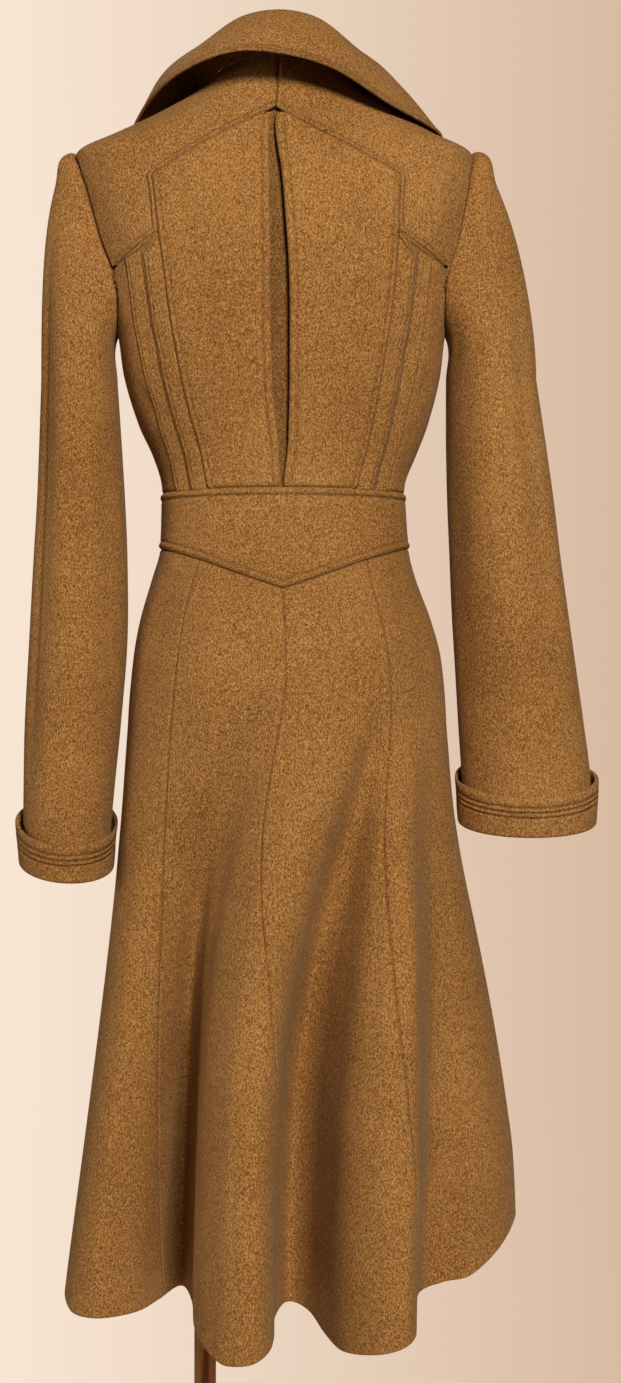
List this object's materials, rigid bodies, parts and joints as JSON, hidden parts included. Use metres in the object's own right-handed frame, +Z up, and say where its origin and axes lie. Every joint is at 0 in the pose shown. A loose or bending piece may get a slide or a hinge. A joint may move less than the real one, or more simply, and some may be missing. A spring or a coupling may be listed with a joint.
{
  "type": "belted coat on a dress form",
  "caption": "Fitted wool coat with a fluted skirt, pointed waistband and fastened belt, standing on a limbless dress form with a pole and round base.",
  "frame": {"origin": "centre of the base plate's underside, where it stands on the floor", "axes": "+Z up; the coat faces -Y, so its back is towards +Y; +X is the wearer's left"},
  "size_m": [0.5231, 0.3484, 1.4215],
  "materials": {
    "wool": "napped melton",
    "form_fabric": "plain cotton cover",
    "pole_brass": "polished, aged",
    "base_metal": "dark satin paint",
    "horn": "polished horn look"
  },
  "bodies": {
    "root": {"yoke_left": "wool", "yoke_right": "wool", "back_panel_left": "wool", "back_panel_right": "wool", "tuck_panel_left": "wool", "tuck_panel_right": "wool", "pleat_underlay": "wool", "side_panel_left": "wool", "side_panel_right": "wool", "front_left": "wool", "front_right": "wool", "lapel_left": "wool", "lapel_right": "wool", "collar": "wool", "sleeve_left": "wool", "sleeve_right": "wool", "cuff_left": "wool", "cuff_right": "wool", "waistband_back": "wool", "belt_left": "wool", "belt_right": "wool", "belt_buckle": "horn", "skirt_back_left": "wool", "skirt_side_back_left": "wool", "skirt_side_front_left": "wool", "skirt_front_left": "wool", "skirt_back_right": "wool", "skirt_side_back_right": "wool", "skirt_side_front_right": "wool", "skirt_front_right": "wool", "button_1": "horn", "button_2": "horn", "button_3": "horn", "button_4": "horn", "button_5": "horn", "form_torso": "form_fabric", "form_pole": "pole_brass", "form_base": "base_metal"}
  },
  "joints": []
}
